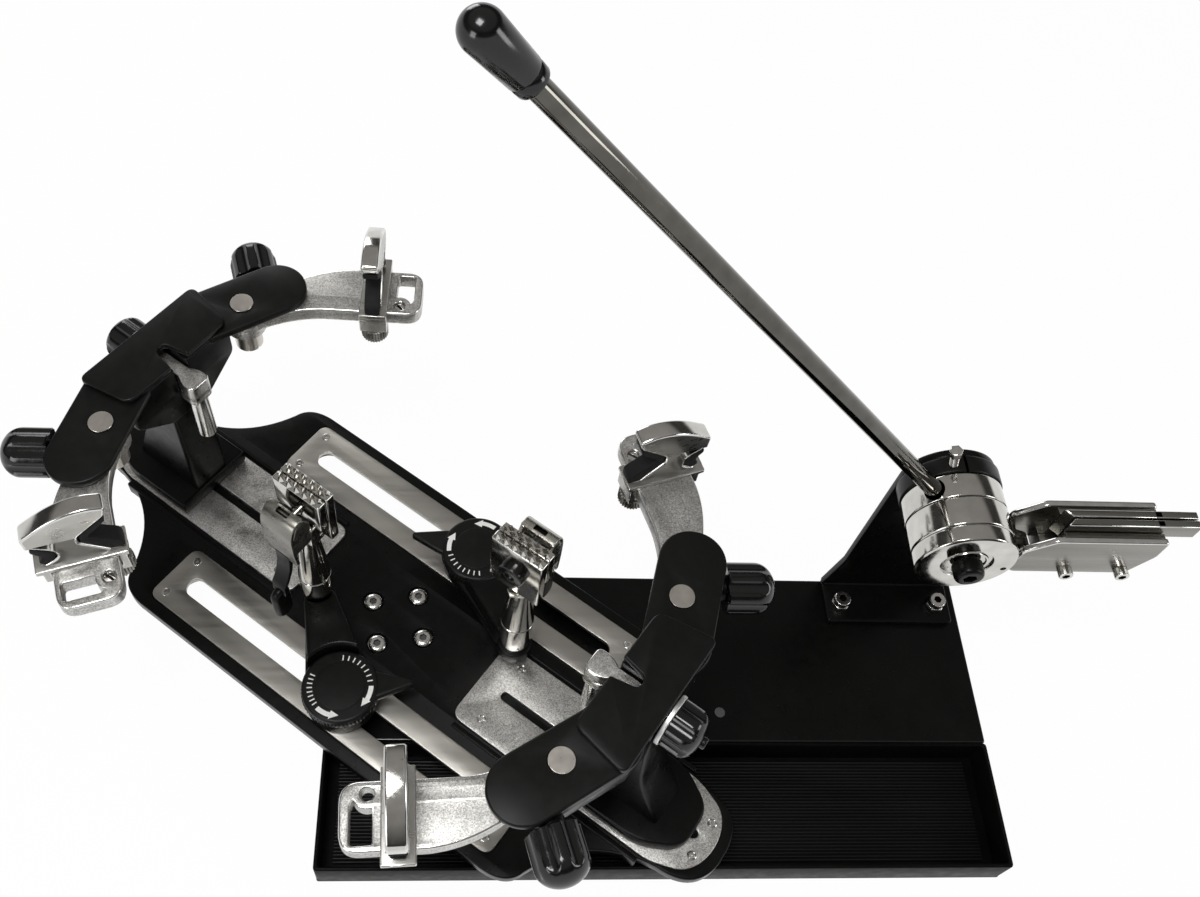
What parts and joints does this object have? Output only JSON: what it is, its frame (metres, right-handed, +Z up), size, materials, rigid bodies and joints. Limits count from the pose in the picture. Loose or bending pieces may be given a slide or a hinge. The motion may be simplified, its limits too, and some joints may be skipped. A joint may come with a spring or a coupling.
{
  "type": "racket stringing machine",
  "caption": "Table-top stringing machine: turntable with racket supports, swivel string clamps on rails and a drop-rod tension head on a tray base.",
  "frame": {"origin": "the point under the turntable's axis, on the plane that the base stands on", "axes": "+Z up; +X along the long side of the base towards the tension head; +Y from the front tray towards the back"},
  "size_m": [0.8105, 0.4671, 0.5853],
  "materials": {
    "black_paint": "satin black paint",
    "black_gloss": "gloss black plastic",
    "black_rubber": "matt black rubber",
    "satin_steel": "satin",
    "cast_silver": "sparkle cast silver",
    "chrome": "polished",
    "black_steel": "blackened"
  },
  "bodies": {
    "frame": {"base_pan": "black_paint", "deck_plate": "black_paint", "tray_mat": "black_rubber", "pivot_housing": "black_paint", "head_bracket": "black_paint", "drum_axle": "black_steel", "drum_collar": "black_paint"},
    "turntable": {"turntable_plate": "black_paint", "pivot_spindle": "satin_steel", "clamp_rail_far": "satin_steel", "clamp_rail_near": "satin_steel", "guide_plate_right": "cast_silver", "guide_plate_left": "cast_silver"},
    "tower_right": {"tower_right": "black_paint", "tower_cover_right": "black_paint", "arm_pin_right_far": "satin_steel", "arm_pin_right_near": "satin_steel"},
    "inner_support_right": {"inner_support_right": "cast_silver"},
    "support_knob_right": {"support_knob_right": "black_gloss"},
    "side_arm_right_far": {"side_arm_right_far": "cast_silver"},
    "hook_right_far": {"hook_right_far": "cast_silver", "hook_pad_right_far": "black_rubber"},
    "arm_knob_right_far": {"arm_knob_right_far": "black_gloss"},
    "side_arm_right_near": {"side_arm_right_near": "cast_silver"},
    "hook_right_near": {"hook_right_near": "cast_silver", "hook_pad_right_near": "black_rubber"},
    "arm_knob_right_near": {"arm_knob_right_near": "black_gloss"},
    "tower_left": {"tower_left": "black_paint", "tower_cover_left": "black_paint", "arm_pin_left_far": "satin_steel", "arm_pin_left_near": "satin_steel"},
    "inner_support_left": {"inner_support_left": "cast_silver"},
    "support_knob_left": {"support_knob_left": "black_gloss"},
    "side_arm_left_far": {"side_arm_left_far": "cast_silver"},
    "hook_left_far": {"hook_left_far": "cast_silver", "hook_pad_left_far": "black_rubber"},
    "arm_knob_left_far": {"arm_knob_left_far": "black_gloss"},
    "side_arm_left_near": {"side_arm_left_near": "cast_silver"},
    "hook_left_near": {"hook_left_near": "cast_silver", "hook_pad_left_near": "black_rubber"},
    "arm_knob_left_near": {"arm_knob_left_near": "black_gloss"},
    "clamp_shoe_left": {"clamp_shoe_left": "satin_steel"},
    "clamp_arm_left": {"clamp_arm_left": "black_paint"},
    "clamp_dial_left": {"clamp_dial_left": "black_paint"},
    "clamp_post_left": {"clamp_post_left": "chrome"},
    "clamp_jaw_left": {"clamp_jaw_left": "chrome"},
    "clamp_lever_left": {"clamp_lever_left": "chrome"},
    "clamp_shoe_right": {"clamp_shoe_right": "satin_steel"},
    "clamp_arm_right": {"clamp_arm_right": "black_paint"},
    "clamp_dial_right": {"clamp_dial_right": "black_paint"},
    "clamp_post_right": {"clamp_post_right": "chrome"},
    "clamp_jaw_right": {"clamp_jaw_right": "chrome"},
    "clamp_lever_right": {"clamp_lever_right": "chrome"},
    "rod": {"rear_drum": "chrome", "tension_rod": "chrome", "rod_knob": "black_gloss"},
    "front_drum": {"front_drum": "chrome"},
    "gripper": {"gripper_body": "cast_silver"},
    "gripper_jaw_front": {"gripper_jaw_front": "cast_silver"},
    "gripper_jaw_rear": {"gripper_jaw_rear": "cast_silver"}
  },
  "joints": [
    {"name": "turntable_spin", "type": "hinge", "parent": "frame", "child": "turntable", "pos_m": [0, 0, 0.039], "axis": [0, 0, 1], "continuous": true},
    {"name": "tower_slide_right", "type": "slide", "parent": "turntable", "child": "tower_right", "axis": [0.7986, -0.6018, 0], "range_m": [-0.045, 0.015]},
    {"name": "support_knob_turn_right", "type": "hinge", "parent": "tower_right", "child": "support_knob_right", "pos_m": [0.1749, -0.1318, 0.195], "axis": [0.7986, -0.6018, 0], "range_deg": [-722, 182]},
    {"name": "inner_support_slide_right", "type": "slide", "parent": "tower_right", "child": "inner_support_right", "axis": [0.7986, -0.6018, 0], "range_m": [-0.006, 0.0015]},
    {"name": "arm_knob_turn_right_far", "type": "hinge", "parent": "tower_right", "child": "arm_knob_right_far", "pos_m": [0.2189, -0.0435, 0.195], "axis": [1, 0.0035, 0], "range_deg": [-500, 600]},
    {"name": "arm_swing_right_far", "type": "hinge", "parent": "tower_right", "child": "side_arm_right_far", "pos_m": [0.18667, -0.05802, 0.1997], "axis": [0, 0, 1], "range_deg": [-9.6, 11.6]},
    {"name": "hook_slide_right_far", "type": "slide", "parent": "side_arm_right_far", "child": "hook_right_far", "axis": [0.3112, -0.9504, 0], "range_m": [-0.006, 0.006]},
    {"name": "arm_knob_turn_right_near", "type": "hinge", "parent": "tower_right", "child": "arm_knob_right_near", "pos_m": [0.10215, -0.19843, 0.195], "axis": [0.2723, -0.9622, 0], "range_deg": [-220, 600]},
    {"name": "arm_swing_right_near", "type": "hinge", "parent": "tower_right", "child": "side_arm_right_near", "pos_m": [0.10723, -0.16344, 0.1997], "axis": [0, 0, 1], "range_deg": [-11.6, 4.3]},
    {"name": "hook_slide_right_near", "type": "slide", "parent": "side_arm_right_near", "child": "hook_right_near", "axis": [0.9986, 0.0536, 0], "range_m": [-0.006, 0.006]},
    {"name": "tower_slide_left", "type": "slide", "parent": "turntable", "child": "tower_left", "axis": [0.7986, -0.6018, 0], "range_m": [-0.006, 0.055]},
    {"name": "support_knob_turn_left", "type": "hinge", "parent": "tower_left", "child": "support_knob_left", "pos_m": [-0.18249, 0.13751, 0.195], "axis": [-0.7986, 0.6018, 0], "range_deg": [-722, 182]},
    {"name": "inner_support_slide_left", "type": "slide", "parent": "tower_left", "child": "inner_support_left", "axis": [-0.7986, 0.6018, 0], "range_m": [-0.006, 0.0015]},
    {"name": "arm_knob_turn_left_far", "type": "hinge", "parent": "tower_left", "child": "arm_knob_left_far", "pos_m": [-0.10974, 0.20415, 0.195], "axis": [-0.2723, 0.9622, 0], "range_deg": [-500, 600]},
    {"name": "arm_swing_left_far", "type": "hinge", "parent": "tower_left", "child": "side_arm_left_far", "pos_m": [-0.11482, 0.16916, 0.1997], "axis": [0, 0, 1], "range_deg": [-11.6, 9.6]},
    {"name": "hook_slide_left_far", "type": "slide", "parent": "side_arm_left_far", "child": "hook_left_far", "axis": [-0.9993, 0.0372, 0], "range_m": [-0.006, 0.006]},
    {"name": "arm_knob_turn_left_near", "type": "hinge", "parent": "tower_left", "child": "arm_knob_left_near", "pos_m": [-0.22649, 0.04921, 0.195], "axis": [-1, -0.0035, 0], "range_deg": [-500, 600]},
    {"name": "arm_swing_left_near", "type": "hinge", "parent": "tower_left", "child": "side_arm_left_near", "pos_m": [-0.19426, 0.06374, 0.1997], "axis": [0, 0, 1], "range_deg": [-9.6, 11.6]},
    {"name": "hook_slide_left_near", "type": "slide", "parent": "side_arm_left_near", "child": "hook_left_near", "axis": [-0.3112, 0.9504, 0], "range_m": [-0.006, 0.006]},
    {"name": "clamp_slide_left", "type": "slide", "parent": "turntable", "child": "clamp_shoe_left", "axis": [0.7986, -0.6018, 0], "range_m": [-0.06, 0.09]},
    {"name": "clamp_swivel_left", "type": "hinge", "parent": "clamp_shoe_left", "child": "clamp_arm_left", "pos_m": [-0.03711, -0.0647, 0.058], "axis": [0, 0, 1], "range_deg": [-30, 30]},
    {"name": "clamp_dial_turn_left", "type": "hinge", "parent": "clamp_shoe_left", "child": "clamp_dial_left", "pos_m": [-0.03711, -0.0647, 0.068], "axis": [0, 0, 1], "range_deg": [-90, 0]},
    {"name": "clamp_post_turn_left", "type": "hinge", "parent": "clamp_arm_left", "child": "clamp_post_left", "pos_m": [-0.05887, 0.01021, 0.06], "axis": [0, 0, 1], "continuous": true},
    {"name": "clamp_lever_turn_left", "type": "hinge", "parent": "clamp_post_left", "child": "clamp_lever_left", "pos_m": [-0.06501, 0.00206, 0.197], "axis": [-0.7986, 0.6018, 0], "range_deg": [0, 25.1]},
    {"name": "clamp_jaw_slide_left", "type": "slide", "parent": "clamp_post_left", "child": "clamp_jaw_left", "axis": [-0.6018, -0.7986, 0], "range_m": [0, 0.0012]},
    {"name": "clamp_slide_right", "type": "slide", "parent": "turntable", "child": "clamp_shoe_right", "axis": [0.7986, -0.6018, 0], "range_m": [-0.05, 0.04]},
    {"name": "clamp_swivel_right", "type": "hinge", "parent": "clamp_shoe_right", "child": "clamp_arm_right", "pos_m": [0.05963, 0.04772, 0.058], "axis": [0, 0, 1], "range_deg": [-30, 30]},
    {"name": "clamp_dial_turn_right", "type": "hinge", "parent": "clamp_shoe_right", "child": "clamp_dial_right", "pos_m": [0.05963, 0.04772, 0.068], "axis": [0, 0, 1], "range_deg": [-90, 0]},
    {"name": "clamp_post_turn_right", "type": "hinge", "parent": "clamp_arm_right", "child": "clamp_post_right", "pos_m": [0.08809, -0.0249, 0.06], "axis": [0, 0, 1], "continuous": true},
    {"name": "clamp_lever_turn_right", "type": "hinge", "parent": "clamp_post_right", "child": "clamp_lever_right", "pos_m": [0.09423, -0.01675, 0.197], "axis": [0.7986, -0.6018, 0], "range_deg": [0, 25.1]},
    {"name": "clamp_jaw_slide_right", "type": "slide", "parent": "clamp_post_right", "child": "clamp_jaw_right", "axis": [0.6018, 0.7986, 0], "range_m": [0, 0.0012]},
    {"name": "rod_swing", "type": "hinge", "parent": "frame", "child": "rod", "pos_m": [0.385, 0.01765, 0.199], "axis": [0, 1, 0], "range_deg": [0, 105]},
    {"name": "drum_turn", "type": "hinge", "parent": "frame", "child": "front_drum", "pos_m": [0.385, -0.00825, 0.199], "axis": [0, 1, 0], "range_deg": [-85, 0]},
    {"name": "gripper_tilt", "type": "hinge", "parent": "front_drum", "child": "gripper", "pos_m": [0.434, 0.0042, 0.177], "axis": [0, 1, 0], "range_deg": [-30, 0]},
    {"name": "gripper_jaw_slide_front", "type": "slide", "parent": "gripper", "child": "gripper_jaw_front", "axis": [0.9987, -0.0519, 0], "range_m": [0, 0.008]},
    {"name": "gripper_jaw_slide_rear", "type": "slide", "parent": "gripper", "child": "gripper_jaw_rear", "axis": [0.9987, 0.0519, 0], "range_m": [0, 0.008]}
  ],
  "couplings": [
    {"joint": "support_knob_turn_right", "follows": "inner_support_slide_right", "rad_per_m": 2094.4},
    {"joint": "arm_swing_right_far", "follows": "arm_knob_turn_right_far", "ratio": 0.0191},
    {"joint": "arm_swing_right_near", "follows": "arm_knob_turn_right_near", "ratio": -0.0191},
    {"joint": "support_knob_turn_left", "follows": "inner_support_slide_left", "rad_per_m": 2094.4},
    {"joint": "arm_swing_left_far", "follows": "arm_knob_turn_left_far", "ratio": -0.0191},
    {"joint": "arm_swing_left_near", "follows": "arm_knob_turn_left_near", "ratio": 0.0191},
    {"joint": "clamp_lever_turn_left", "follows": "clamp_jaw_slide_left", "rad_per_m": 363.6},
    {"joint": "clamp_lever_turn_right", "follows": "clamp_jaw_slide_right", "rad_per_m": 363.6},
    {"joint": "gripper_jaw_slide_rear", "follows": "gripper_jaw_slide_front", "ratio": 1}
  ]
}
